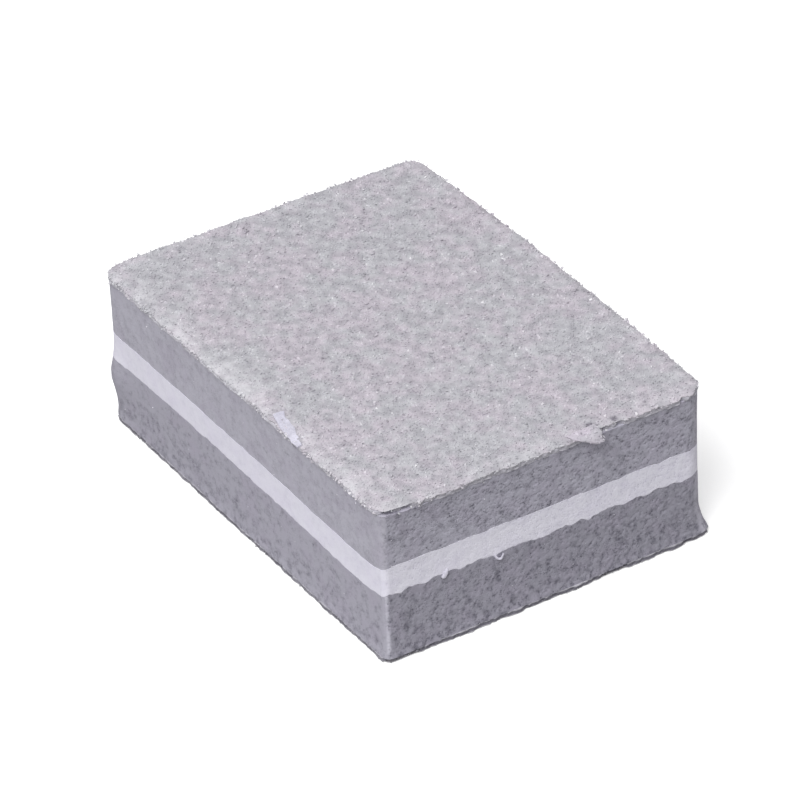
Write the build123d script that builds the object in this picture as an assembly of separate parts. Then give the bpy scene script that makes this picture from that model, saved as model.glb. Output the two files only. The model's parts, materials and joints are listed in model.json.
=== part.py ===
from build123d import *
import os

# Nail buffer block: a white core sheet between two grey foam pads, with a coated
# abrasive sheet on each large face.  All of it is bonded and nothing moves.
# Frame: origin at the middle of the bottom face, +X along the length, +Z up through
# the layers.  Lengths are in millimetres.

# Plan of the block, taken at the abrasive sheets, which stand out furthest
block_length = 35.0
block_width = 25.0
left_front_corner_radius = 1.5
right_front_corner_radius = 0.6
right_back_corner_radius = 1.5
left_back_corner_radius = 1.4

# Layers, from the fine face at the bottom to the coarse face on top
fine_grit_thickness = 0.10
fine_paper_thickness = 0.20
fine_adhesive_thickness = 0.07
lower_pad_thickness = 4.60
lower_core_adhesive_thickness = 0.05
core_thickness = 2.10
upper_core_adhesive_thickness = 0.05
upper_pad_thickness = 4.35
coarse_adhesive_thickness = 0.07
coarse_paper_thickness = 0.22
coarse_grit_thickness = 0.19

# Hollow-cut wall: the foam bulges under the knife and springs back hollow, so its
# wall steps in behind the sheets and draws in most at the middle of its height.
# Both depths are measured inwards from the edge of the sheets.
wall_step_at_sheet = 0.05
wall_waist_at_middle = 0.30

# Layers in their order in the stack.  The sheets are stiff and keep the full
# outline; the foam layers share the hollow-cut wall.
fine_sheet_layers = [
    ("grit_coat_fine", fine_grit_thickness),
    ("abrasive_backing_lower", fine_paper_thickness),
    ("sheet_adhesive_lower", fine_adhesive_thickness),
]
foam_layers = [
    ("foam_pad_lower", lower_pad_thickness),
    ("core_adhesive_lower", lower_core_adhesive_thickness),
    ("core_sheet", core_thickness),
    ("core_adhesive_upper", upper_core_adhesive_thickness),
    ("foam_pad_upper", upper_pad_thickness),
]
coarse_sheet_layers = [
    ("sheet_adhesive_upper", coarse_adhesive_thickness),
    ("abrasive_backing_upper", coarse_paper_thickness),
    ("grit_coat_coarse", coarse_grit_thickness),
]


def stack_height(layers):
    """Height of a group of layers lying on each other."""
    return sum(thickness for name, thickness in layers)


def block_plan(draw_in):
    """Rounded outline of the block, drawn in evenly from the edge of the sheets."""
    plan = Rectangle(block_length - 2 * draw_in, block_width - 2 * draw_in)
    corners = [
        (-1, -1, left_front_corner_radius),
        (1, -1, right_front_corner_radius),
        (1, 1, right_back_corner_radius),
        (-1, 1, left_back_corner_radius),
    ]
    for side_x, side_y, radius in corners:
        corner = [v for v in plan.vertices() if v.X * side_x > 0 and v.Y * side_y > 0]
        plan = fillet(corner, radius - draw_in)
    return plan


def wall_cutter(low, high):
    """Ring of waste around the foam stack, its inner face the arc of the hollow wall.

    The arc passes the step at both ends of the stack and the waist half way up.  It
    is swept once round the outline, so the hollow runs through all four corners.  The
    ring is taller and wider than the wall, so only the arc cuts.
    """
    half_height = (high - low) / 2
    hollow = wall_waist_at_middle - wall_step_at_sheet
    arc_radius = (half_height**2 + hollow**2) / (2 * hollow)
    bulge = Pos(arc_radius - wall_waist_at_middle, 0) * Circle(arc_radius)
    window = Pos(wall_waist_at_middle, 0) * Rectangle(
        4 * wall_waist_at_middle, 3 * half_height
    )
    path = block_plan(0).face().outer_wire()
    start = path @ 0
    along = path % 0
    outward = Vector(along.Y, -along.X, 0)
    across = Plane(
        origin=(start.X, start.Y, (low + high) / 2), x_dir=outward, z_dir=along
    )
    return sweep(across * (bulge & window), path=path)


def foam_stack(low, high):
    """Whole bonded foam stack with its hollow-cut wall, before it is told apart."""
    blank = extrude(block_plan(-wall_waist_at_middle), high - low)
    return Pos(0, 0, low) * blank - wall_cutter(low, high)


def foam_slice(stack, low, thickness):
    """One foam or core layer, cut out of the stack between two level planes."""
    slab = Box(
        block_length + wall_waist_at_middle,
        block_width + wall_waist_at_middle,
        thickness,
        align=(Align.CENTER, Align.CENTER, Align.MIN),
    )
    return stack & Pos(0, 0, low) * slab


def sheet_layer(low, thickness):
    """One layer of an abrasive sheet, cut square to the full outline."""
    return Pos(0, 0, low) * extrude(block_plan(0), thickness)


def sheet_solids(layers, low):
    """Solids of the layers of one abrasive sheet, by name."""
    solids = {}
    for name, thickness in layers:
        solids[name] = sheet_layer(low, thickness)
        low += thickness
    return solids


def foam_solids(layers, low):
    """Solids of the foam pads, the core and the films between them, by name."""
    stack = foam_stack(low, low + stack_height(layers))
    solids = {}
    for name, thickness in layers:
        solids[name] = foam_slice(stack, low, thickness)
        low += thickness
    return solids


def buffer_block():
    """All layers of the block, by name, from the bottom up."""
    foam_level = stack_height(fine_sheet_layers)
    coarse_level = foam_level + stack_height(foam_layers)
    solids = sheet_solids(fine_sheet_layers, 0)
    solids.update(foam_solids(foam_layers, foam_level))
    solids.update(sheet_solids(coarse_sheet_layers, coarse_level))
    return solids


os.makedirs("parts", exist_ok=True)
for name, solid in buffer_block().items():
    export_step(solid, f"parts/{name}.step")
    print(name, round(solid.volume, 2), "mm3")
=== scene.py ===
import itertools
import json
import math

import bmesh
import bpy
import numpy as np
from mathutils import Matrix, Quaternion, Vector

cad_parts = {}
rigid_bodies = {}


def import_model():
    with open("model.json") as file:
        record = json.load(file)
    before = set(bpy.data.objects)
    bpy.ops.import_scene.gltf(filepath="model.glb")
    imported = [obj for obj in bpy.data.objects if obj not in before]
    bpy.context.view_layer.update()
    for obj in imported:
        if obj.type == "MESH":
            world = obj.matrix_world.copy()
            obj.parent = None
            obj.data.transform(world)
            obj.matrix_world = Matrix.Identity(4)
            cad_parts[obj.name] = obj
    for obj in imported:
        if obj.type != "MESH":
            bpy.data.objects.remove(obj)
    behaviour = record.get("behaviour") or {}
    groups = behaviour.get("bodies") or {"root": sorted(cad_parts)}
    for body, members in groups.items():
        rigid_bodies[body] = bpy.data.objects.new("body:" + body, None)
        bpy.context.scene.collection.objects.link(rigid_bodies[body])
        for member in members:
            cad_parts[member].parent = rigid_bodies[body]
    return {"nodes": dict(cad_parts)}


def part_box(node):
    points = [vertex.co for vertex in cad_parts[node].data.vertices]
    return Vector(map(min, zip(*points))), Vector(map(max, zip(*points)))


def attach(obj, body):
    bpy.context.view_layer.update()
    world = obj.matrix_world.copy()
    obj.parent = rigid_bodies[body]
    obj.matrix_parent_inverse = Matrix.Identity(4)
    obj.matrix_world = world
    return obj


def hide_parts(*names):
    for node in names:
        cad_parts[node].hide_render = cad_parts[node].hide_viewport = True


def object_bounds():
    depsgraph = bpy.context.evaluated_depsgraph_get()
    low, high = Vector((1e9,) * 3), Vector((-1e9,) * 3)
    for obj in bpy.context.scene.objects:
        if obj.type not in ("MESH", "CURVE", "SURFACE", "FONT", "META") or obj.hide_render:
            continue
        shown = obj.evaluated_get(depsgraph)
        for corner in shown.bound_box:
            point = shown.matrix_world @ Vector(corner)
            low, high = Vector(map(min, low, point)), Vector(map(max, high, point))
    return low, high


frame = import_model()
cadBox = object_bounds()
mm = 0.001      # one millimetre; all sizes are in metres

# The cut outline of the block and its hollow wall, as the solids have them, and what is
# this block's own; plain numbers in here are millimetres
block = {
    "corners": {(1, -1): 0.6 * mm, (1, 1): 1.5 * mm, (-1, 1): 1.4 * mm, (-1, -1): 1.5 * mm},
    "rimStep": 0.075 * mm,      # spacing of points round the foam walls
    "faceStep": 0.15 * mm,      # spacing of points over the abrasive faces
    "turnIn": mm,               # within which their edge turns from side to side at a corner
    "innerRings": (0.975, 0.93),    # where other flat faces are divided, as shares of the outline
    "hollow": 0.5,              # the wall draws in less than the solids do
    # how far each upright edge strays from its place, at the foot, the core and the top
    "strays": {(1, -1): ((0.27, -0.14), (-0.2, 0.08), (0.1, -0.09)),
               (1, 1): ((0.02, 0.15), (-0.03, 0.35), (0.07, 0.25)),
               (-1, 1): ((0.9, -0.3), (0.75, -0.15), (0.9, -0.34)),
               (-1, -1): ((0.1, 0.4), (0.0, 0.2), (0.2, 0.1))},
    # where the foam swells or drags out: edge, reach, heights between which it does, way
    "swells": [((1, 1), 1.9, (-1.0, 0.0, 0.5, 2.4), (0.0, 0.6)),
               ((1, 1), 0.8, (-1.0, 0.0, 0.3, 1.2), (0.26, 0.05)),
               ((-1, -1), 2.5, (1.2, 3.3, 4.0, 6.4), (-0.15, -0.35))],
    "bow": 0.3 * mm,            # the back long side bulges
    "drift": 0.05 * mm,         # slow unevenness of a hand-fed cut
    "driftPitch": 9 * mm,
    "rollDown": 0.2 * mm,       # the knife drags the rim of the upper sheet down
    "rollReach": 0.7 * mm,      # this far in from the outline
    "rollDepth": 2.5 * mm,      # and this far down the foam
    "rollUneven": 0.4,          # more here and less there, by this share
    "rollPitch": 2.5 * mm,
    "standing": ((1, -1), 1.8 * mm, 1.2),   # but not the front corner: reach, share held back
}
halfLength, halfWidth = cadBox[1].x, cadBox[1].y
blockHeight = cadBox[1].z
levels = {name: (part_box(name)[0].z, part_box(name)[1].z) for name in frame["nodes"]}
foamLow, foamHigh = levels["foam_pad_lower"][0], levels["foam_pad_upper"][1]
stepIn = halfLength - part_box("foam_pad_upper")[1].x
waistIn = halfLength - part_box("core_sheet")[1].x


# One wrapped socket: arithmetic on it adds Math nodes to its tree
class Sock:
    def __init__(self, bench, socket):
        self.bench, self.socket = bench, socket

    def sum(self, operation, first, second):
        return self.bench.add("ShaderNodeMath", {0: first, 1: second}, operation=operation)

    def __add__(self, other):
        return self.sum("ADD", self, other)

    def __sub__(self, other):
        return self.sum("SUBTRACT", self, other)

    def __mul__(self, other):
        return self.sum("MULTIPLY", self, other)

    def __truediv__(self, other):
        return self.sum("DIVIDE", self, other)

    def __pow__(self, other):
        return self.sum("POWER", self, other)

    def __rsub__(self, other):
        return self.sum("SUBTRACT", other, self)

    def __rtruediv__(self, other):
        return self.sum("DIVIDE", other, self)

    __radd__, __rmul__ = __add__, __mul__

    # 0 below low, 1 above high and smooth between
    def ease(self, low, high):
        return self.bench.add("ShaderNodeMapRange", {0: self, 1: low, 2: high},
                              interpolation_type="SMOOTHSTEP")


# A node tree, with one method that puts any node in it and a few shorthands for it
class Bench:
    def __init__(self, tree):
        self.tree = tree
        self.given = {}

    def feed(self, socket, value):
        if isinstance(value, Sock):
            self.tree.links.new(value.socket, socket)
        elif socket.type == "RGBA" and len(value) == 3:
            socket.default_value = (*value, 1.0)
        else:
            socket.default_value = value

    def add(self, kind, inputs=None, out=0, stops=(), **settings):
        node = self.tree.nodes.new(kind)
        for name, setting in settings.items():
            setattr(node, name, setting)
        if stops:
            ramp = node.color_ramp.elements
            while len(ramp) < len(stops):
                ramp.new(0.5)
            for stop, (place, colour) in zip(ramp, stops):
                stop.position, stop.color = place, (*colour, 1.0)
        for key, value in (inputs or {}).items():
            self.feed(node.inputs[key], value)
        return Sock(self, node.outputs[out]) if node.outputs else None

    def noise(self, place, size, detail=2.0, roughness=0.5, out=0):
        inputs = {"Vector": place, "Scale": 1.0 / size, "Detail": detail, "Roughness": roughness}
        return self.add("ShaderNodeTexNoise", inputs, out)

    def cells(self, place, size, out="Distance"):
        return self.add("ShaderNodeTexVoronoi", {"Vector": place, "Scale": 1.0 / size}, out)

    def vector(self, operation, first, second):
        return self.add("ShaderNodeVectorMath", {0: first, 1: second}, operation=operation)

    def mix(self, share, first, second):
        return self.add("ShaderNodeMix", {0: share, 6: first, 7: second}, 2, data_type="RGBA")

    def bump(self, strength, depth, height):
        inputs = {"Strength": strength, "Distance": depth * mm, "Height": height}
        return self.add("ShaderNodeBump", inputs)

    def part(self, value, name="X"):
        return self.add("ShaderNodeSeparateXYZ", {0: value}, name)

    def painted(self, name):
        return self.add("ShaderNodeAttribute", out="Fac", attribute_name=name)

    def stored(self, name, kind="FLOAT"):
        return self.add("GeometryNodeInputNamedAttribute", {"Name": name}, data_type=kind)

    def keep(self, name, value, shape, domain):
        inputs = {"Geometry": shape, "Name": name, "Value": value}
        return self.add("GeometryNodeStoreNamedAttribute", inputs, data_type="FLOAT", domain=domain)

    def dice(self, low, high, seed):
        kind, first = ("FLOAT_VECTOR", 0) if isinstance(low, tuple) else ("FLOAT", 2)
        if isinstance(low, int):
            kind, first = "INT", 4
        inputs = {first: low, first + 1: high, "Seed": seed}
        return self.add("FunctionNodeRandomValue", inputs, first // 2, data_type=kind)


# A screen colour, 0 to 255, as the linear colour that a shader takes
def tint(red, green, blue):
    return tuple(((c / 255 + 0.055) / 1.055) ** 2.4 for c in (red, green, blue))


# An empty bench in a new material or world
def emptyBench(owner):
    owner.use_nodes = True
    owner.node_tree.nodes.clear()
    return Bench(owner.node_tree)


def newFinish(name, build):
    finish = bpy.data.materials.new(name)
    bench = emptyBench(finish)
    place = bench.add("ShaderNodeTexCoord", out="Object")
    shader = bench.add("ShaderNodeBsdfPrincipled", build(bench, place))
    bench.add("ShaderNodeOutputMaterial", {"Surface": shader})
    return finish


greyFoam = {
    "skin": tint(196, 194, 206),    # closed cut of the long sides
    "torn": tint(189, 187, 200),    # open cut of the short ends
    "edge": tint(199, 197, 208),    # the upright edges between them, paler as a painted highlight
    "deep": tint(112, 110, 122),    # painted shade at the bottoms of the opened cells and in the pores, and the dark end of the mottle
    "blush": tint(176, 166, 186),
    "deepShare": 0.45,
    "cloud": 0.25,      # how far each scale of unevenness shades the foam
    "cloudSize": 1.7 * mm,
    "mottle": 0.75,
    "mottleSize": 0.5 * mm,
    "tornMottle": 1.05, # and how much more or less the torn ends have of it
    "fine": 0.6,
    "fineSize": 0.1 * mm,
    "tornFine": -0.25,
    # painted shade in the pores
    "pores": 0.45,
    "poreSize": 0.16 * mm,
    "blushSize": 1.3 * mm,
    "bump": 0.5,
    "footShade": 0.0,   # painted shade: how much darker it is a millimetre nearer to its glued foot, and lighter above
    "footMiddle": 2.5 * mm,     # and the height at which it has its own shade
}
# The upper pad's foam painted darker as shade for the lower pad, with the painted foot shade and a
# brighter painted highlight on its upright edges
lowerFoam = {
    **greyFoam,
    "skin": tint(180, 178, 190),
    "torn": tint(162, 160, 172),
    # painted highlight on the upright edges
    "edge": tint(209, 207, 219),
    "mottle": 1.6,
    "tornMottle": 0.5,
    "fine": 0.85,
    "tornFine": -0.18,
    "footShade": 0.044,
}
whiteFoam = {
    **greyFoam,
    "skin": tint(243, 241, 253),
    "torn": tint(246, 244, 255),
    "edge": tint(246, 244, 255),
    "deep": tint(196, 192, 212),
    "blush": tint(238, 232, 252),
    "deepShare": 0.4,
    "cloud": 0.3,
    "mottle": 0.55,
    "tornMottle": 0.05,
    "fine": 0.2,
    "tornFine": 0.0,
    "pores": 0.14,
    "bump": 0.3,
}
wispFoam = {
    **whiteFoam,
    "skin": tint(198, 196, 207),
    "torn": tint(198, 196, 207),
}


def foamFinish(name, look):
    def build(bench, place):
        torn, hollow = bench.painted("torn"), bench.painted("hollow")
        cloud = bench.noise(place, look["cloudSize"], 3.0) - 0.5
        mottle = bench.noise(place, look["mottleSize"], 3.0) - 0.5
        fine = bench.noise(place, look["fineSize"], 3.0, 0.6)
        own = bench.part(bench.cells(place, look["poreSize"], "Color"))
        pore = 1.0 - bench.cells(place, look["poreSize"]).ease(0.1, 0.5)
        pore = pore * own * (torn * 0.6 + 0.4)
        wall = bench.mix(torn, look["skin"], look["torn"])
        # Painted highlight on the rounded upright edges
        wall = bench.mix(torn * (1.0 - torn) * 3.0, wall, look["edge"])
        flush = bench.noise(place, look["blushSize"], 2.0).ease(0.4, 0.7)
        wall = bench.mix(flush * 0.25, wall, look["blush"])
        spotted = mottle * look["mottle"] * (torn * look["tornMottle"] + 1.0)
        dusty = (fine - 0.5) * look["fine"] * (torn * look["tornFine"] + 1.0)
        uneven = cloud * look["cloud"] + spotted + dusty
        # Painted shade: darker towards the pad's foot and lighter above the middle height
        foot = (look["footMiddle"] - bench.part(place, "Z")) * (look["footShade"] / mm)
        # Painted shade in the opened cells and the pores
        spots = hollow * look["deepShare"] + pore * look["pores"]
        shade = (spots + uneven + foot + 0.15).ease(0.0, 1.0)
        colour = bench.mix(shade, wall, look["deep"])
        return {"Base Color": colour, "Roughness": 0.9 + cloud * 0.1, "Specular IOR Level": 0.3,
                "Normal": bench.bump(look["bump"], 0.04, fine * 0.5 - pore)}
    return newFinish(name, build)


coarseGrit = {
    "resin": tint(189, 186, 194),
    "dark": tint(148, 146, 154),
    "middle": tint(208, 205, 213),
    "bright": tint(240, 238, 243),
    "blush": tint(208, 193, 204),   # faint warm and cool patches in the coat
    "moss": tint(190, 196, 195),
    "patch": 5.5 * mm,
    "patchShare": 0.3,
    "lump": 1.75,       # darker where grains lie thick, by this much
    "lumpSize": 0.75 * mm,
    "rubbed": 0.33,     # how pale the rubbed rim turns, rubbing and painted highlight together
    # painted shade in the pits
    "pit": tint(130, 125, 136),
}
fineGrit = {
    **coarseGrit,
    "resin": tint(184, 181, 188),
    "dark": tint(146, 143, 150),
    "middle": tint(196, 193, 200),
    "bright": tint(236, 234, 240),
    "blush": tint(204, 195, 204),
    "moss": tint(193, 197, 198),
    "patch": 8 * mm,
    "patchShare": 0.25,
    "lump": 0.9,
    "rubbed": 0.3,
}
crumbGrit = {
    **coarseGrit,
    "dark": tint(184, 182, 190),
    "middle": tint(214, 212, 219),
    "bright": tint(244, 243, 248),
    "lump": 0.3,
}
flapGrit = {
    **coarseGrit,
    "resin": tint(193, 188, 198),
    "dark": tint(160, 156, 166),
    "middle": tint(211, 206, 216),
    "blush": tint(209, 196, 210),
    "lump": 1.0,
}
# Crumbs along the foot, painted dark as shade
paintedShadeGrit = {
    **fineGrit,
    "dark": tint(92, 90, 99),
    "middle": tint(126, 124, 133),
    "bright": tint(176, 174, 183),
}


# What both the resin and the grains on it take on: patches, lumps, the rubbed rim with its painted
# highlight and the pits with their painted shade
def patched(bench, place, look, colour):
    wide = bench.noise(place, look["patch"], 2.0)
    small = bench.noise(place, look["patch"] * 0.22, 2.0)
    patch = (wide * 0.5 + small * 0.5).ease(0.4, 0.6)
    colour = bench.mix(look["patchShare"], colour, bench.mix(patch, look["moss"], look["blush"]))
    lump = bench.noise(place, look["lumpSize"], 2.0).ease(0.3, 0.7) * look["lump"]
    colour = bench.mix(lump * 0.3, colour, look["dark"])
    # Rubbed rim with its painted highlight
    colour = bench.mix(bench.painted("worn") * look["rubbed"], colour, look["bright"])
    # Painted shade in the pits
    return bench.mix(bench.painted("pitted"), colour, look["pit"])


def resinFinish(name, look):
    def build(bench, place):
        dust = bench.noise(place, 0.18 * mm, 3.0, 0.6)
        colour = bench.mix(dust.ease(0.35, 0.75) * 0.5, look["resin"], look["middle"])
        return {"Base Color": patched(bench, place, look, colour),
                "Roughness": 0.62 + dust * 0.3, "Normal": bench.bump(0.5, 0.02, dust)}
    return newFinish(name, build)


def grainFinish(name, look):
    def build(bench, place):
        tone = bench.painted("tone")
        stops = [(0.0, look["dark"]), (0.18, look["middle"]), (0.8, look["middle"]),
                 (1.0, look["bright"])]
        colour = bench.add("ShaderNodeValToRGB", {"Fac": tone}, stops=stops)
        return {"Base Color": patched(bench, place, look, colour),
                "Roughness": 0.7 - tone.ease(0.9, 1.0) * 0.4}
    return newFinish(name, build)


def dustFinish(name, dark, pale):
    def build(bench, place):
        tone = bench.painted("tone")
        return {"Base Color": bench.mix(tone, dark, pale), "Roughness": 0.8 + tone * 0.1}
    return newFinish(name, build)


def paperFinish(name, dark, pale, frayedTint):
    def build(bench, place):
        fibre = bench.noise(bench.vector("MULTIPLY", place, (1.0, 1.0, 4.0)), 0.12 * mm, 3.0, 0.6)
        shade = bench.mix(fibre.ease(0.3, 0.7), dark, pale)
        gaps = bench.noise(place, 1.1 * mm, 2.0).ease(0.42, 0.58)
        frayed = (1.0 - bench.painted("torn")) * fibre.ease(0.3, 0.55) * gaps
        colour = bench.mix(frayed, shade, frayedTint)
        return {"Base Color": colour, "Roughness": 0.85 + fibre * 0.1,
                "Normal": bench.bump(0.4, 0.02, fibre)}
    return newFinish(name, build)


def filmFinish(name, dark, pale):
    def build(bench, place):
        smear = bench.noise(place, 0.8 * mm, 3.0)
        shade = bench.mix(smear.ease(0.3, 0.7), dark, pale)
        return {"Base Color": shade, "Roughness": 0.35 + smear * 0.3}
    return newFinish(name, build)


recipes = {
    "upperFoam": (foamFinish, greyFoam),
    "lowerFoam": (foamFinish, lowerFoam),
    "whiteFoam": (foamFinish, whiteFoam),
    "wispFoam": (foamFinish, wispFoam),
    "coarseResin": (resinFinish, coarseGrit),
    "coarseGrain": (grainFinish, coarseGrit),
    "fineResin": (resinFinish, fineGrit),
    "fineGrain": (grainFinish, fineGrit),
    "crumb": (grainFinish, crumbGrit),
    "flapResin": (resinFinish, flapGrit),
    "flapGrain": (grainFinish, flapGrit),
    "dust": (dustFinish, tint(205, 203, 211), tint(248, 247, 251)),
    "darkCrumb": (grainFinish, paintedShadeGrit),
    # The lower sheet's paper, painted dark as the shade along the block's foot
    "darkPaper": (paperFinish, tint(96, 94, 104), tint(128, 126, 136), tint(158, 156, 166)),
    "paper": (paperFinish, tint(164, 162, 171), tint(193, 191, 200), tint(226, 224, 233)),
    "tornPaper": (paperFinish, tint(188, 186, 200), tint(208, 206, 220), tint(214, 212, 226)),
    "tape": (filmFinish, tint(160, 158, 166), tint(196, 194, 202)),
    "coreFilm": (filmFinish, tint(186, 184, 194), tint(196, 194, 202)),
}
finishes = {name: make(name, *looks) for name, (make, *looks) in recipes.items()}
print("finishes:", len(finishes))

tableSize = 4096        # how many random numbers a noise draws from
tornFrom, tornOver = 0.62, 0.36     # how far a wall has to face the ends before it shows torn


# Smooth random numbers from -1 to 1 that depend on the place alone, so that layers which
# meet get the same ones; the three large primes scatter neighbouring cells over the table
def drift(places, pitch, seed):
    table = np.random.default_rng(seed).uniform(-1, 1, tableSize)
    scaled = np.asarray(places) / pitch
    cell = np.floor(scaled).astype(np.int64)
    share = scaled - cell
    share = share * share * (3 - 2 * share)
    total = np.zeros(len(scaled))
    for corner in itertools.product((0, 1), repeat=3):
        x, y, z = (cell + corner).T
        weight = np.prod(np.where(corner, share, 1 - share), axis=1)
        total += weight * table[(x * 73856093 ^ y * 19349663 ^ z * 83492791) % tableSize]
    return total


# 1 at the place itself, falling away smoothly to either side of it
def hump(along, place, reach):
    return np.exp(-(((along - place) / reach) ** 2))


# How far each point lies from one upright edge of the block
def awayFrom(side, points):
    return np.hypot(points[:, 0] - side[0] * halfLength, points[:, 1] - side[1] * halfWidth)


# How far in from the outline each point lies
def toEdge(points):
    radius = 1.2 * mm       # between the corners' own, near enough for this
    over = np.abs(points[:, :2]) - (halfLength - radius, halfWidth - radius)
    outer = np.hypot(*np.maximum(over, 0).T)
    return radius - outer - np.minimum(over.max(axis=1), 0)


# The whole block's small faults of cutting, laid on every piece alike
def settle(points):
    moved = points.copy()
    for axis in (0, 1):
        moved[:, axis] += block["drift"] * drift(points, block["driftPitch"], 11 + axis)
    rise = np.clip(points[:, 2] / blockHeight, 0, 1)
    shares = ((2 * rise - 1) * (rise - 1), 4 * rise * (1 - rise), rise * (2 * rise - 1))
    for (sideX, sideY), strays in block["strays"].items():
        alongShare = 1 + sideX * points[:, 0] / halfLength
        corner = alongShare * (1 + sideY * points[:, 1] / halfWidth) / 4
        for share, stray in zip(shares, strays):
            moved[:, :2] += np.outer(corner * share, stray) * mm
    for side, reach, heights, way in block["swells"]:
        full = np.interp(points[:, 2] / mm, heights, (0, 1, 1, 0)) ** 1.5
        near = hump(awayFrom(side, points), 0, reach * mm)
        moved[:, :2] += np.outer(near * full, way) * mm
    middle = (1 - np.clip(points[:, 0] / halfLength, -1, 1) ** 2) ** 2
    moved[:, 1] += block["bow"] * middle * (1 + points[:, 1] / halfWidth) / 2
    near = (1 - np.clip(toEdge(points) / block["rollReach"], 0, 1)) ** 2
    upper = np.clip(1 - (blockHeight - points[:, 2]) / block["rollDepth"], 0, 1)
    uneven = 1 + block["rollUneven"] * drift(points, block["rollPitch"], 13)
    side, reach, held = block["standing"]
    uneven *= 1 - held * hump(awayFrom(side, points), 0, reach)
    moved[:, 2] -= near * uneven * upper * block["rollDown"]
    return moved


# Places round the edge of the sheets, anticlockwise seen from above, and the way out at each
def rim(step):
    arcs = []
    for number, ((sideX, sideY), radius) in enumerate(block["corners"].items()):
        turn = math.radians(90 * number - 90)
        angles = turn + np.linspace(0, math.pi / 2, max(9, round(radius * math.pi / 2 / step)))
        ways = np.column_stack([np.cos(angles), np.sin(angles)])
        centre = (sideX * (halfLength - radius), sideY * (halfWidth - radius))
        arcs.append((centre + radius * ways, ways))
    places, ways = [], []
    for (arc, arcWays), (nextArc, nextWays) in zip(arcs, arcs[1:] + arcs[:1]):
        run = nextArc[0] - arc[-1]
        shares = np.linspace(0, 1, round(np.hypot(*run) / step) + 1)[1:-1, None]
        places += [arc, arc[-1] + run * shares]
        ways += [arcWays, np.repeat(arcWays[-1:], len(shares), 0)]
    return np.vstack(places), np.vstack(ways)


# How far the hollow wall stands in from the outline at each height
def wallIn(height):
    half = (foamHigh - foamLow) / 2
    hollow = waistIn - stepIn
    radius = (half * half + hollow * hollow) / (2 * hollow)
    arc = hollow - (radius - np.sqrt(radius * radius - (height - foamLow - half) ** 2))
    return stepIn + arc * block["hollow"]


# How much of the torn look of the short ends a wall has that faces this way
def tornShare(ways):
    return np.clip((np.abs(ways[:, 0]) - tornFrom) / tornOver, 0, 1)


def lay(mesh, name, values):
    kind, field = ("FLOAT_VECTOR", "vector") if np.ndim(values) > 1 else ("FLOAT", "value")
    mesh.attributes.new(name, kind, "POINT").data.foreach_set(field, np.ravel(values))


def newMesh(name, points, faces, sharp=50):
    mesh = bpy.data.meshes.new(name)
    mesh.from_pydata(settle(np.asarray(points)).tolist(), [], faces)
    mesh.update()
    mesh.shade_smooth()
    mesh.set_sharp_from_angle(angle=math.radians(sharp))
    return mesh


def newPiece(name, mesh, finish=None):
    piece = bpy.data.objects.new(name, mesh)
    bpy.context.scene.collection.objects.link(piece)
    if finish:
        mesh.materials.append(finishes[finish])
    return piece


# Smaller copies of a ring drawn in towards the middle, so that a flat face follows the rolled rim
def innerRings(ring, middle):
    if middle[2] < blockHeight - block["rollDepth"]:
        return []
    return [middle + (ring - middle) * share for share in block["innerRings"]]


# Faces of the band between two rings, each given by the number of its first point
def band(count, under, over):
    one = np.arange(count)
    two = (one + 1) % count
    return np.column_stack([one + under, two + under, two + over, one + over]).tolist()


# A closed layer between two edges given height by height round the rim
def layerPiece(name, around, low, high, rows, standIn, finish=None):
    places, ways = around
    count = len(places)
    rings = []
    for share in np.linspace(0, 1, rows + 1):
        height = low + (high - low) * share
        rings.append(np.column_stack([places - ways * standIn(height)[:, None], height]))
    ends = np.array([[0, 0, low.mean()], [0, 0, high.mean()]])
    below, above = innerRings(rings[0], ends[0]), innerRings(rings[-1], ends[1])
    rings = [*below[::-1], *rings, *above]
    points = np.vstack([*rings, ends])
    faces = []
    for row in range(len(rings) - 1):
        faces += band(count, row * count, (row + 1) * count)
    one = np.arange(count)
    two = (one + 1) % count
    top, middle = (len(rings) - 1) * count, len(rings) * count
    faces += np.column_stack([two, one, np.full(count, middle)]).tolist()
    faces += np.column_stack([one + top, two + top, np.full(count, middle + 1)]).tolist()
    mesh = newMesh(name, points, faces)
    outward = np.zeros((len(points), 3))
    wall = slice(len(below) * count, (len(below) + rows + 1) * count)
    outward[wall, :2] = np.tile(ways, (rows + 1, 1))
    lay(mesh, "outward", outward)
    lay(mesh, "torn", np.concatenate([np.tile(tornShare(ways), len(rings)), [0, 0]]))
    return newPiece(name, mesh, finish)


def openTree(name, inputs):
    tree = bpy.data.node_groups.new(name, "GeometryNodeTree")
    tree.interface.new_socket("Geometry", in_out="INPUT", socket_type="NodeSocketGeometry")
    for label, kind in inputs.items():
        tree.interface.new_socket(label, in_out="INPUT", socket_type="NodeSocket" + kind)
    tree.interface.new_socket("Geometry", in_out="OUTPUT", socket_type="NodeSocketGeometry")
    bench = Bench(tree)
    gate = tree.nodes.new("NodeGroupInput")
    bench.given = {socket.name: Sock(bench, socket) for socket in gate.outputs if socket.name}
    return bench


def closeTree(bench, shape):
    whole = bench.add("GeometryNodeRealizeInstances", {"Geometry": shape})
    done = bench.add("GeometryNodeSetMaterial", {
        "Geometry": whole, "Material": bench.given["Finish"]})
    bench.add("NodeGroupOutput", {"Geometry": done})


# Runs a tree on a base piece and gives the result as a plain piece; the base goes
def grown(base, bench, sizes, name):
    modifier = base.modifiers.new("grow", "NODES")
    modifier.node_group = bench.tree
    for item in bench.tree.interface.items_tree:
        if item.in_out == "INPUT" and item.name in sizes:
            modifier[item.identifier] = sizes[item.name]
    graph = bpy.context.evaluated_depsgraph_get()
    mesh = bpy.data.meshes.new_from_object(
        base.evaluated_get(graph), preserve_all_data_layers=True, depsgraph=graph)
    bpy.data.objects.remove(base)
    mesh.name = name
    print(name, len(mesh.polygons), "faces")
    return newPiece(name, mesh)


cutSizes = ("Cell Size", "Cell Depth", "Blister Size", "Blister Depth", "Mottle Size",
            "Mottle Depth", "Streak Depth")
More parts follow.
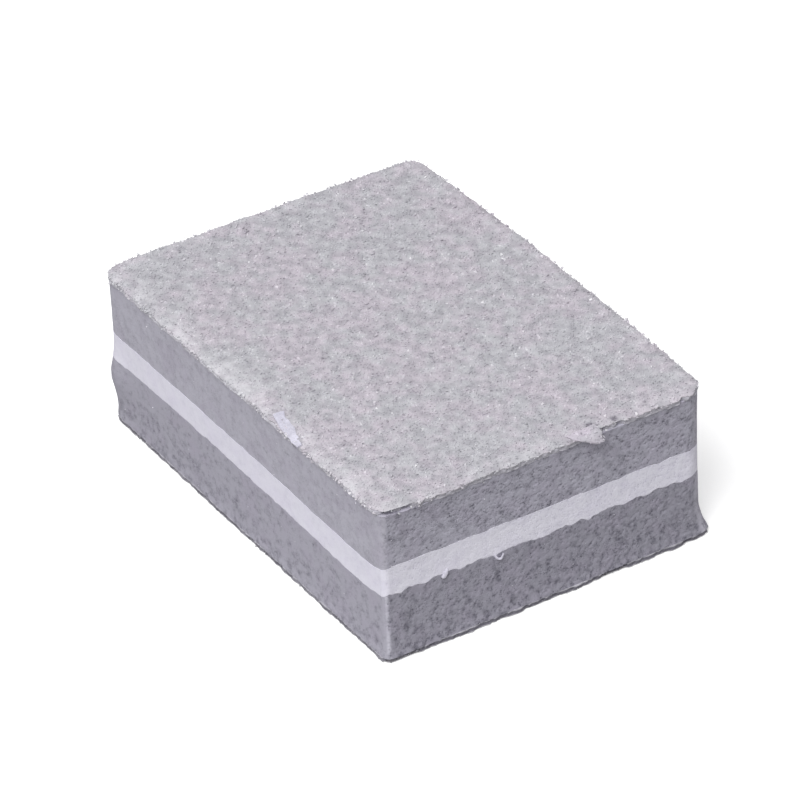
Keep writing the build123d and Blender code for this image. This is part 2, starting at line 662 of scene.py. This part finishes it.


# Opens cells, blisters and knife streaks in a wall, and keeps their depth in "hollow", which the
# foam's finish paints dark as shade
def roughenTree():
    numbers = dict.fromkeys((*cutSizes, "Blister Share", "Seed Shift"), "Float")
    bench = openTree("roughen", {**numbers, "Finish": "Material"})
    given = bench.given
    here = bench.vector("ADD", bench.add("GeometryNodeInputPosition"), given["Seed Shift"])
    wobble = bench.noise(here, given["Cell Size"] * 1.3, 2.0, 0.5, "Color")
    pull = bench.vector("MULTIPLY", wobble, given["Cell Size"] * 0.8)
    place = bench.vector("ADD", here, pull)
    torn = bench.stored("torn")
    dimple = 1.0 - bench.cells(place, given["Cell Size"]).ease(0.05, 0.55)
    own = bench.part(bench.cells(place, given["Cell Size"], "Color"))
    blister = 1.0 - bench.cells(place, given["Blister Size"]).ease(0.0, 0.5)
    rare = bench.part(bench.cells(place, given["Blister Size"], "Color"))
    opened = (given["Blister Share"] - rare).ease(-0.05, 0.1)
    mottle = bench.noise(place, given["Mottle Size"], 3.0) - 0.5
    along = bench.vector("MULTIPLY", place, (0.08, 0.08, 1.0))
    streak = bench.noise(along, 0.16 * mm, 2.0) - 0.5
    cellDepth = dimple * (own * 0.6 + 0.4) * given["Cell Depth"] * (torn * 0.7 + 0.3)
    blisterDepth = blister * opened * given["Blister Depth"] * (torn * 0.8 + 0.2)
    mottleDepth = mottle * given["Mottle Depth"] * (torn * 0.6 + 0.4)
    share = (cellDepth + blisterDepth) / given["Cell Depth"]
    depth = cellDepth + blisterDepth + mottleDepth + streak * given["Streak Depth"]
    outward = bench.stored("outward", "FLOAT_VECTOR")
    offset = bench.vector("MULTIPLY", outward, 0.0 - depth)
    kept = bench.keep("hollow", share, given["Geometry"], "POINT")
    shape = bench.add("GeometryNodeSetPosition", {"Geometry": kept, "Offset": offset})
    closeTree(bench, shape)
    return bench


# Strews loose shapes over a face, as thick as its "sow" attribute says
def strewTree():
    bench = openTree("strew", {
        "Shapes": "Collection", "Spacing": "Float", "Smallest": "Float", "Largest": "Float",
        "Lift": "Float", "Seed": "Int", "Finish": "Material"})
    given = bench.given
    seed = given["Seed"]
    spread = bench.add("GeometryNodeDistributePointsOnFaces", {
        "Mesh": given["Geometry"], "Distance Min": given["Spacing"],
        "Density Max": 4.0 / (given["Spacing"] * given["Spacing"]),
        "Density Factor": bench.stored("sow"), "Seed": seed}, distribute_method="POISSON")
    normal = Sock(bench, spread.socket.node.outputs["Normal"])
    kit = bench.add("GeometryNodeCollectionInfo", {
        "Collection": given["Shapes"], "Separate Children": True, "Reset Children": True})
    size = bench.dice(0.0, 1.0, seed) ** 2.0
    size = given["Smallest"] + (given["Largest"] - given["Smallest"]) * size
    turn = bench.add("FunctionNodeEulerToRotation", {
        0: bench.dice((0.0, 0.0, 0.0), (6.283, 6.283, 6.283), seed + 1)})
    lifted = bench.add("GeometryNodeSetPosition", {
        "Geometry": spread, "Offset": bench.vector("MULTIPLY", normal, given["Lift"])})
    strewn = bench.add("GeometryNodeInstanceOnPoints", {
        "Points": lifted, "Instance": kit, "Pick Instance": True,
        "Instance Index": bench.dice(0, 99, seed + 2), "Rotation": turn, "Scale": size})
    closeTree(bench, bench.keep("tone", bench.dice(0.0, 1.0, seed + 3), strewn, "INSTANCE"))
    return bench


trees = {"roughen": roughenTree(), "strew": strewTree()}


# Angular shapes of a few faces each, one unit across
def looseShapes(name, count, corners, seed):
    kit = bpy.data.collections.new(name)
    dice = np.random.default_rng(seed)
    for number in range(count):
        spots = dice.normal(size=(corners, 3))
        spots /= np.linalg.norm(spots, axis=1)[:, None] * 2
        spots *= dice.uniform(0.75, 1.25, 3) * dice.uniform(0.85, 1.1, (corners, 1))
        form = bmesh.new()
        for spot in spots:
            form.verts.new(spot)
        hull = bmesh.ops.convex_hull(form, input=form.verts)
        spare = list(set(hull["geom_interior"] + hull["geom_unused"]))
        bmesh.ops.delete(form, geom=spare, context="VERTS")
        bmesh.ops.recalc_face_normals(form, faces=form.faces)
        mesh = bpy.data.meshes.new(f"{name}{number}")
        form.to_mesh(mesh)
        form.free()
        kit.objects.link(bpy.data.objects.new(mesh.name, mesh))
    return kit


grainShapes = looseShapes("grainShape", 6, 7, 5)


# How they are strewn; sizes in millimetres
def sowing(spacing, smallest, largest, lift, seed, finish):
    return {"Shapes": grainShapes, "Spacing": spacing * mm, "Smallest": smallest * mm,
            "Largest": largest * mm, "Lift": lift * mm, "Seed": seed, "Finish": finishes[finish]}


def belong(piece, slot, *nodes):
    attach(piece, "root")
    if nodes:
        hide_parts(*nodes)
    return piece


# Heights of the seams between layers, with the waves that pressing and cutting leave, in
# millimetres; "side" is the share of them on the long sides, and the humps of each side
# have a place along it, a half width and a rise
seamWaves = {
    "coreLow": {
        "height": levels["core_sheet"][0], "wave": 0.16, "side": 0.5, "pitch": 0.65, "seed": 21,
        "humps": {(0, -1): [(-6, 12, 0.11), (0, 7, -0.08), (13.5, 8, -0.33), (17.2, 1.2, 0.12)],
                  (1, 0): [(-12.2, 1.4, 0.05), (-5.6, 2.4, 0.06), (-0.3, 1.6, -0.1)]}},
    "coreHigh": {
        "height": levels["core_sheet"][1], "wave": 0.06, "side": 0.9, "pitch": 0.8, "seed": 22,
        "humps": {(0, -1): [(0, 9, -0.11), (13, 8.5, -0.42), (17.2, 1.0, 0.24)],
                  (1, 0): [(-12.2, 1.4, 0.05)]}},
}
ripple = {"share": 0.5, "pitch": 0.3, "seed": 30}       # the same finer wave on every seam
foamRim = rim(block["rimStep"])


def level(height):
    return np.full(len(foamRim[0]), height)


def seam(name):
    wave = seamWaves[name]
    places = np.column_stack([foamRim[0], level(wave["height"])])
    swell = wave["side"] + (1 - wave["side"]) * tornShare(foamRim[1])
    rise = drift(places, wave["pitch"] * mm, wave["seed"])
    rise += ripple["share"] * drift(places, ripple["pitch"] * mm, ripple["seed"])
    rise *= wave["wave"] * swell
    for side, humps in wave["humps"].items():
        along = places[:, 1] if side[0] else places[:, 0]
        for place, width, height in humps:
            swollen = hump(along, place * mm, width * mm)
            rise += height * swollen * np.clip(foamRim[1] @ side, 0, 1)
    return wave["height"] + rise * mm


filmThickness = levels["core_adhesive_upper"][1] - levels["core_adhesive_upper"][0]
coreLow, coreHigh = seam("coreLow"), seam("coreHigh")
edges = {
    "lowerPad": (level(foamLow), coreLow - filmThickness),
    "lowerFilm": (coreLow - filmThickness, coreLow),
    "core": (coreLow, coreHigh),
    "upperFilm": (coreHigh, coreHigh + filmThickness),
    "upperPad": (coreHigh + filmThickness, level(foamHigh)),
}
footReach = 0.5 * mm
filmIn = 0.02 * mm      # the films end this far inside the foam's wall


# The foam's foot stands out over the lower sheet, and its top hides under the upper one
def wallStand(height):
    foot = np.clip(1 - (height - foamLow) / footReach, 0, 1)
    return wallIn(height) - stepIn * foot


# What a surface is roughened with: sizes and depths in millimetres
def roughness(cells, blisters, share, mottle, streak=0.0):
    sizes = (*cells, *blisters, *mottle, streak)
    return {"Blister Share": share, **{name: size * mm for name, size in zip(cutSizes, sizes)}}


padCut = roughness(cells=(0.25, 0.06), blisters=(0.55, 0.08), share=0.04, mottle=(0.6, 0.08),
                   streak=0.01)
coreCut = roughness(cells=(0.2, 0.02), blisters=(0.6, 0.03), share=0.03, mottle=(0.8, 0.05),
                    streak=0.01)


def foamPiece(name, node, slot, edge, cut, finish, seedShift):
    low, high = edges[edge]
    rows = round(float((high - low).mean()) / block["rimStep"])
    base = layerPiece(name + "_base", foamRim, low, high, rows, wallStand)
    sizes = {**cut, "Seed Shift": seedShift, "Finish": finishes[finish]}
    piece = grown(base, trees["roughen"], sizes, name)
    belong(piece, slot, node)


foamPiece("lower_pad", "foam_pad_lower", "pad_foam", "lowerPad", padCut, "lowerFoam", 0.011)
foamPiece("upper_pad", "foam_pad_upper", "pad_foam", "upperPad", padCut, "upperFoam", 0.023)
foamPiece("white_core", "core_sheet", "core_foam", "core", coreCut, "whiteFoam", 0.037)


def filmStand(height):
    return wallIn(height) + filmIn


def filmPiece(name, node, edge):
    piece = layerPiece(name, foamRim, *edges[edge], 1, filmStand, "coreFilm")
    belong(piece, "core_adhesive", node)


filmPiece("lower_core_film", "core_adhesive_lower", "lowerFilm")
filmPiece("upper_core_film", "core_adhesive_upper", "upperFilm")
print("foam stack laid")

sheetCut = {
    "ragged": 0.05 * mm,    # how far the cut edge wanders, and how often
    "raggedPitch": 0.6 * mm,
    "fuzz": 0.05 * mm,
    "fuzzPitch": 0.22 * mm,
    "endMore": 0.9,         # the short ends are cut rougher by this share
    "roundBite": 1.4,       # how far bites reach round the corners
    # bites torn out of the edge on each side: place along it, half width, depth
    "bites": {
        (1, 0): [(-12.4, 0.7, 0.5), (-11.2, 1.0, 0.26), (-10.4, 0.35, 0.28), (-9.0, 0.3, 0.2),
                 (4.5, 0.2, 0.3), (5.2, 0.9, 0.2), (5.8, 0.2, 0.25), (10.6, 0.2, 0.2)],
        (-1, 0): [(-2.7, 0.6, 0.25), (0.2, 0.8, 0.18), (1.1, 0.5, 0.25), (4.9, 0.9, 0.2),
                  (9.9, 0.8, 0.13)],
        (0, 1): [(-15.3, 1.5, 0.32), (6.6, 0.3, 0.12), (11.0, 0.25, 0.15)],
    },
}


# How far in from the outline the sheets' cut edge lies at each place round the rim
def raggedIn(places, ways, height):
    flat = np.column_stack([places, np.zeros(len(places))])
    spots = flat + np.array([0, 0, 1.0]) * np.reshape(height, (-1, 1))
    end = np.abs(ways[:, 0])
    rag = sheetCut["ragged"] * drift(flat, sheetCut["raggedPitch"], 41)
    fuzz = sheetCut["fuzz"] * drift(spots, sheetCut["fuzzPitch"], 42)
    inward = (rag + fuzz) * (1 + sheetCut["endMore"] * end)
    for side, bites in sheetCut["bites"].items():
        along = places[:, 1] if side[0] else places[:, 0]
        for place, width, depth in bites:
            bite = hump(along, place * mm, width * mm)
            inward += depth * mm * bite * np.clip(sheetCut["roundBite"] * ways @ side, 0, 1)
    return inward


def sheetEdge(height):
    return raggedIn(*foamRim, height)


def sheetPiece(name, node, slot, finish, rows):
    low, high = levels[node]
    piece = layerPiece(name, foamRim, level(low), level(high), rows, sheetEdge, finish)
    belong(piece, slot, node)


sheetPiece("upper_tape", "sheet_adhesive_upper", "sheet_adhesive", "tape", 2)
sheetPiece("lower_tape", "sheet_adhesive_lower", "sheet_adhesive", "tape", 2)
sheetPiece("upper_paper", "abrasive_backing_upper", "sheet_paper", "paper", 4)
sheetPiece("lower_paper", "abrasive_backing_lower", "sheet_paper", "darkPaper", 4)
print("papers laid")


rubAndHighlight = {
    "reach": 1.8 * mm,          # how far in from the edge the rim is rubbed and painted light
    "elsewhere": 0.4,           # how much of it the other sides have
    "frontFrom": 2.6 * mm,      # where the front side's full share starts, and how softly
    "frontSoft": 0.6 * mm,
    "patch": 1.3 * mm,
    "speck": 0.35 * mm,
}


# The rim of a sheet is rubbed pale and given a painted highlight, most along the front long side,
# which faces the lamp
def rubbedAndHighlitShare(points):
    near = np.clip(1 - (toEdge(points) / rubAndHighlight["reach"]) ** 2, 0, 1)
    front = np.clip((rubAndHighlight["frontFrom"] - points[:, 1] - halfWidth) / rubAndHighlight["frontSoft"], 0, 1)
    most = rubAndHighlight["elsewhere"] + (1 - rubAndHighlight["elsewhere"]) * front
    patches = drift(points, rubAndHighlight["patch"], 51) + 0.8 * drift(points, rubAndHighlight["speck"], 52)
    return near * most * np.clip(0.55 + 0.9 * patches, 0, 1)


# Bends the corners of a square-cornered grid onto the rounded outline
def roundOff(x, y):
    for (sideX, sideY), radius in block["corners"].items():
        across = (x * sideX - (halfLength - radius)) / radius
        up = (y * sideY - (halfWidth - radius)) / radius
        inside = (across > 0) & (up > 0)
        shrink = np.maximum(across, up) / np.hypot(across, up, where=inside, out=np.ones_like(x))
        x = np.where(inside, sideX * (halfLength - radius + radius * across * shrink), x)
        y = np.where(inside, sideY * (halfWidth - radius + radius * up * shrink), y)
    return x, y


# A thin closed plate, finely divided on the face that points up or down
def platePiece(name, face, back, look):
    countX = round(2 * halfLength / block["faceStep"])
    countY = round(2 * halfWidth / block["faceStep"])
    x, y = np.meshgrid(np.linspace(-halfLength, halfLength, countX + 1),
                       np.linspace(-halfWidth, halfWidth, countY + 1))
    x, y = roundOff(x.ravel(), y.ravel())
    index = np.arange(len(x)).reshape(countY + 1, countX + 1)
    loop = np.concatenate([index[0, :-1], index[:-1, -1], index[-1, :0:-1], index[:0:-1, 0]])
    edge = np.column_stack([x[loop], y[loop]])
    inner = np.array([halfLength, halfWidth]) - block["turnIn"]
    ways = edge - np.clip(edge, -inner, inner)
    ways /= np.hypot(*ways.T)[:, None]
    edge -= ways * raggedIn(edge, ways, face)[:, None]
    x[loop], y[loop] = edge.T
    pitted = np.zeros(len(x))
    for placeX, placeY, reach in look["pits"]:
        away = np.hypot(x - placeX * mm, y - placeY * mm) / (reach * mm)
        pitted = np.maximum(pitted, np.exp(-away ** 4))
    top = np.column_stack([x, y, face - pitted * look["pitDepth"]])
    under = np.column_stack([x[loop], y[loop], np.full(len(loop), back)])
    middle = np.array([0, 0, back])
    unders = [under, *innerRings(under, middle)]
    points = np.vstack([top, *unders, middle])
    quads = np.stack([index[:-1, :-1], index[:-1, 1:], index[1:, 1:], index[1:, :-1]], -1)
    count = len(loop)
    one = np.arange(count)
    two = (one + 1) % count
    walls = np.column_stack([one + len(top), two + len(top), loop[two], loop[one]])
    faces = quads.reshape(-1, 4).tolist() + walls.tolist()
    last = len(top)
    for _ in unders[1:]:
        faces += band(count, last + count, last)
        last += count
    faces += np.column_stack([two + last, one + last, np.full(count, len(points) - 1)]).tolist()
    if face < back:
        faces = [corners[::-1] for corners in faces]
    mesh = newMesh(name, points, faces)
    facing = np.zeros((len(points), 3))
    facing[:len(top), 2] = 1.0 if face > back else -1.0
    lay(mesh, "outward", facing)
    onFace = np.zeros(len(points))
    onFace[:len(top)] = 1.0
    lay(mesh, "torn", onFace)
    lay(mesh, "sow", onFace)
    lay(mesh, "worn", rubbedAndHighlitShare(points))
    lay(mesh, "pitted", np.pad(pitted, (0, len(points) - len(top))))
    return newPiece(name, mesh)


coarseCoat = {
    "bed": 0.08 * mm,       # resin under the grains
    "pits": [(16.7, 3.95, 0.3), (17.0, 5.6, 0.26)],     # picked open beside the flap and painted dark as their shade, in mm
    "pitDepth": 0.05 * mm,
    "skin": {**roughness(cells=(0.3, 0.02), blisters=(0.8, 0.01), share=0.1, mottle=(1.1, 0.05)),
             "Seed Shift": 0.051, "Finish": finishes["coarseResin"]},
    "grains": sowing(0.2, 0.13, 0.27, 0.02, 7, "coarseGrain"),
}
fineCoat = {
    **coarseCoat,
    "bed": 0.05 * mm,
    "pits": [],
    "skin": {**roughness(cells=(0.2, 0.012), blisters=(0.6, 0.005), share=0.1, mottle=(1.3, 0.02)),
             "Seed Shift": 0.067, "Finish": finishes["fineResin"]},
    "grains": sowing(0.19, 0.08, 0.15, 0.005, 17, "fineGrain"),
}


# Loose shapes strewn over a face, which itself goes
def strewn(name, slot, mesh, look):
    belong(grown(newPiece(name + "_sown", mesh), trees["strew"], look, name), slot)


def coatPiece(name, node, slot, look, up):
    low, high = levels[node]
    face, back = (low + look["bed"], low) if up else (high - look["bed"], high)
    plate = platePiece(name + "_base", face, back, look)
    coat = grown(plate, trees["roughen"], look["skin"], name)
    belong(coat, slot, node)
    strewn(name + "_grains", slot, coat.data.copy(), look["grains"])


coatPiece("coarse_coat", "grit_coat_coarse", "coarse_grit", coarseCoat, True)
coatPiece("fine_coat", "grit_coat_fine", "fine_grit", fineCoat, False)


# Crumbs along the cut edges lie in clumps, and thickest along the front long side
rimCrumbs = {
    "step": 0.3 * mm,
    "clump": 0.9 * mm,
    "elsewhere": 0.45,
    "upper": sowing(0.13, 0.1, 0.36, 0.04, 71, "crumb"),
    # the lower ones painted dark as shade
    "lower": sowing(0.25, 0.08, 0.26, 0.0, 81, "darkCrumb"),
}


# Strews them over a strip that stands round the block and then goes
def rimPiece(name, slot, look, low, high, out):
    places, ways = rim(rimCrumbs["step"])
    count = len(places)
    flat = np.column_stack([places + ways * out, np.zeros(count)])
    rings = [flat + (0, 0, height) for height in (low, high)]
    mesh = newMesh(name + "_base", np.vstack(rings), band(count, 0, count))
    inClumps = 0.5 + 0.6 * drift(np.column_stack([places, np.zeros(count)]), rimCrumbs["clump"], 61)
    side = rimCrumbs["elsewhere"] + (1 - rimCrumbs["elsewhere"]) * np.clip(-ways[:, 1], 0, 1)
    lay(mesh, "sow", np.tile(np.clip(inClumps * side, 0, 1), 2))
    strewn(name, slot, mesh, rimCrumbs[look])


rimPiece("upper_rim_crumbs", "coarse_grit", "upper", foamHigh + 0.08 * mm, blockHeight, -0.03 * mm)
rimPiece("lower_rim_crumbs", "fine_grit", "lower", 0.1 * mm, foamLow, 0.0)

wallDust = {
    "share": 0.03,
    "clear": 0.2 * mm,      # none this near to the top and the foot of a pad
    "specks": sowing(0.3, 0.04, 0.13, 0.0, 91, "dust"),
}
for pad in ("lower_pad", "upper_pad"):
    mesh = bpy.data.objects[pad].data.copy()
    openness = np.zeros(len(mesh.vertices))
    mesh.attributes["torn"].data.foreach_get("value", openness)
    heights = np.array([corner.co.z for corner in mesh.vertices])
    lowest, highest = heights.min() + wallDust["clear"], heights.max() - wallDust["clear"]
    onWall = (heights > lowest) & (heights < highest)
    lay(mesh, "sow", onWall * wallDust["share"] * (0.4 + 0.6 * openness))
    strewn(pad + "_dust", "pad_foam", mesh, wallDust["specks"])

looseCrumbs = {"share": 0.3, "crumbs": sowing(3.0, 0.16, 0.36, 0.06, 95, "dust")}
mesh = bpy.data.objects["coarse_coat"].data.copy()
mesh.attributes.remove(mesh.attributes["sow"])
lay(mesh, "sow", np.full(len(mesh.vertices), looseCrumbs["share"]))
strewn("loose_crumbs", "coarse_grit", mesh, looseCrumbs["crumbs"])


tongueGrid = 22, 16     # rings along a tongue, and points across each of its two faces
thinEdge = 0.2          # thickness at its long edges as a share of the middle's


# A thin closed tongue that runs flat, bends over and hangs; a torn bit or a shaving
def tonguePiece(name, look, finish):
    way, toward = np.array(look["way"]), np.array(look["toward"])
    side = np.cross(way, toward)
    turn = math.radians(look["turn"])
    lengths = (look["flat"], look["radius"] * turn, look["hang"])
    rows, columns = tongueGrid
    rings = []
    for along in np.linspace(0, 1, rows):
        gone = along * sum(lengths)
        angle = np.clip((gone - lengths[0]) / look["radius"], 0, turn)
        hung = max(0, gone - lengths[0] - lengths[1])
        spot = min(gone, lengths[0]) * way
        spot = spot + look["radius"] * (math.sin(angle) * way + (1 - math.cos(angle)) * toward)
        spot = spot + hung * (math.cos(turn) * way + math.sin(turn) * toward)
        outer = math.sin(angle) * way - math.cos(angle) * toward
        width = np.interp(along, (0, 0.5, 1), look["halfWidths"])
        shift = look["skew"] * along ** 2
        across = np.linspace(-1, 1, columns)
        middle = spot + np.outer(across * width + shift, side) + np.array(look["start"])
        full = (1 - across ** 4) * (1 - thinEdge) + thinEdge
        thick = look["thick"] / 2 * np.outer(full, outer)
        rings.append(np.vstack([middle + thick, (middle - thick)[::-1]]) * mm)
    points = np.vstack(rings)
    rough = [drift(points, look["grain"] * mm, look["seed"] + axis) for axis in range(3)]
    points += np.column_stack(rough) * look["rough"] * mm
    count = 2 * columns
    one = np.arange(count)
    two = (one + 1) % count
    faces = []
    for row in range(rows - 1):
        under, over = row * count, (row + 1) * count
        faces += np.column_stack([one + under, one + over, two + over, two + under]).tolist()
    for column in range(columns - 1):
        low, high = column, count - 1 - column
        start = [low, low + 1, high - 1, high]
        faces += [start, [(rows - 1) * count + corner for corner in start[::-1]]]
    mesh = newMesh(name, points, faces, 60)
    ring = np.concatenate([np.ones(columns), np.zeros(columns)])
    lay(mesh, "sow", np.tile(ring, rows))
    return newPiece(name, mesh, finish)


# What the knife tore loose; places and sizes in millimetres
tornBits = {
    "torn_flap": {"start": (17.0, 3.1, 11.93), "way": (1, 0, 0), "toward": (0, 0, -1),
                  "flat": 0.5, "radius": 0.35, "turn": 50, "hang": 0.55,
                  "halfWidths": (1.2, 0.95, 0.3), "skew": 0.8, "thick": 0.22,
                  "grain": 0.3, "rough": 0.05, "seed": 101},
    "paper_sliver": {"start": (7.7, -12.55, 11.95), "way": (-0.985, 0.17, 0), "toward": (0, 0, 1),
                     "flat": 3.2, "radius": 0.3, "turn": 55, "hang": 0.25,
                     "halfWidths": (0.2, 0.36, 0.4), "skew": 0.0, "thick": 0.12,
                     "grain": 0.5, "rough": 0.1, "seed": 111},
    "core_shaving": {"start": (17.0, -3.8, 5.25), "way": (0.48, -0.3, -0.82),
                     "toward": (0.52, 0.85, 0), "flat": 0.4, "radius": 0.3, "turn": 160, "hang": 0.15,
                     "halfWidths": (0.17, 0.14, 0.08), "skew": 0.0, "thick": 0.17,
                     "grain": 0.22, "rough": 0.08, "seed": 131},
    "core_tuft": {"start": (17.1, -7.5, 5.4), "way": (0.48, -0.3, -0.82),
                  "toward": (-0.52, -0.85, 0), "flat": 0.42, "radius": 0.3, "turn": 60, "hang": 0.12,
                  "halfWidths": (0.18, 0.16, 0.1), "skew": 0.0, "thick": 0.3,
                  "grain": 0.22, "rough": 0.09, "seed": 151},
}
flap = belong(tonguePiece("torn_flap", tornBits["torn_flap"], "flapResin"), "coarse_grit")
flapGrains = {**coarseCoat["grains"], "Seed": 141, "Finish": finishes["flapGrain"]}
strewn("torn_flap_grains", "coarse_grit", flap.data.copy(), flapGrains)
belong(tonguePiece("paper_sliver", tornBits["paper_sliver"], "tornPaper"), "sheet_paper")
for name in ("core_shaving", "core_tuft"):
    belong(tonguePiece(name, tornBits[name], "wispFoam"), "core_foam")

for shape in list(grainShapes.objects):
    bpy.data.objects.remove(shape)
bpy.data.collections.remove(grainShapes)
print("abrasive faces, crumbs and dust laid")

studio = {
    "worldLevel": 0.56,
    "floorGrey": 0.25,          # what the floor throws back on the block
    "floorWhite": 0.92,         # what is seen of it
    "glowNear": 0.36,           # added to that, so that it stays white away from the lamp
    "glowFar": 0.5,
    "glowFrom": 0.08,           # distances from the block between which one turns to the other
    "glowTo": 0.3,
    "floorSize": 3.0,
    "lampWay": (0.42, -0.62, 1.0),
    "lampDistance": 0.5,
    "lampSize": 0.25,
    "lampPower": 1.7,
}


# 1 for what the camera sees, straight on or through a mirror or glass, and 0 for what only lights
def plainlySeen(bench):
    seen, mirrored, through = (bench.add("ShaderNodeLightPath", out=f"Is {kind} Ray")
                               for kind in ("Camera", "Glossy", "Transmission"))
    return seen.sum("MAXIMUM", seen.sum("MAXIMUM", seen, mirrored), through)


def studioWorld():
    world = bpy.data.worlds.new("studio")
    bench = emptyBench(world)
    strength = studio["worldLevel"] + plainlySeen(bench) * (1.0 - studio["worldLevel"])
    shader = bench.add("ShaderNodeBackground", {"Color": (1.0, 1.0, 1.0), "Strength": strength})
    bench.add("ShaderNodeOutputWorld", {"Surface": shader})
    bpy.context.scene.world = world


def studioFloor():
    half = studio["floorSize"] / 2
    corners = [(-half, -half, 0), (half, -half, 0), (half, half, 0), (-half, half, 0)]
    mesh = bpy.data.meshes.new("floor")
    mesh.from_pydata(corners, [], [(0, 1, 2, 3)])
    floor = newPiece("floor", mesh)
    finish = bpy.data.materials.new("floorPaint")
    bench = emptyBench(finish)
    shades = ("floorGrey", "floorWhite", "glowNear", "glowFar")
    dull, pale, near, far = ((studio[name],) * 3 for name in shades)
    grey = bench.add("ShaderNodeBsdfDiffuse", {"Color": dull})
    white = bench.add("ShaderNodeBsdfDiffuse", {"Color": pale})
    place = bench.add("ShaderNodeTexCoord", out="Object")
    away = bench.add("ShaderNodeVectorMath", {0: place}, "Value", operation="LENGTH")
    turned = away.ease(studio["glowFrom"], studio["glowTo"])
    glow = bench.add("ShaderNodeEmission", {"Color": bench.mix(turned, near, far)})
    lit = bench.add("ShaderNodeAddShader", {0: white, 1: glow})
    both = bench.add("ShaderNodeMixShader", {0: plainlySeen(bench), 1: grey, 2: lit})
    bench.add("ShaderNodeOutputMaterial", {"Surface": both})
    mesh.materials.append(finish)


def studioLamp():
    way = Vector(studio["lampWay"]).normalized()
    light = bpy.data.lights.new("softbox", "AREA")
    light.energy, light.size = studio["lampPower"], studio["lampSize"]
    lamp = bpy.data.objects.new("softbox", light)
    lamp.location = way * studio["lampDistance"]
    lamp.rotation_mode = "QUATERNION"
    lamp.rotation_quaternion = way.to_track_quat("Z", "Y")
    bpy.context.scene.collection.objects.link(lamp)


view = {
    "azimuth": 58.5,        # round from the front long side, towards the right end
    "elevation": 34.55,
    "distance": 0.735,
    "roll": -2.2,
    "lens": 500.0,
    "aimHeight": 0.5,       # share of the block's height
}


def studioCamera():
    around, up = math.radians(view["azimuth"]), math.radians(view["elevation"])
    ground = Vector((math.sin(around), -math.cos(around), 0))
    back = ground * math.cos(up) + Vector((0, 0, math.sin(up)))
    aim = Vector((0, 0, view["aimHeight"] * blockHeight))
    camera = bpy.data.objects.new("camera", bpy.data.cameras.new("camera"))
    camera.data.lens = view["lens"]
    camera.data.clip_start, camera.data.clip_end = 0.01, 10.0
    camera.location = aim + back * view["distance"]
    camera.rotation_mode = "QUATERNION"
    roll = Quaternion((0, 0, 1), math.radians(view["roll"]))
    camera.rotation_quaternion = back.to_track_quat("Z", "Y") @ roll
    bpy.context.scene.collection.objects.link(camera)
    bpy.context.scene.camera = camera


studioWorld()
studioFloor()
studioLamp()
studioCamera()
bpy.context.scene.view_settings.view_transform = "Standard"
print("studio set")
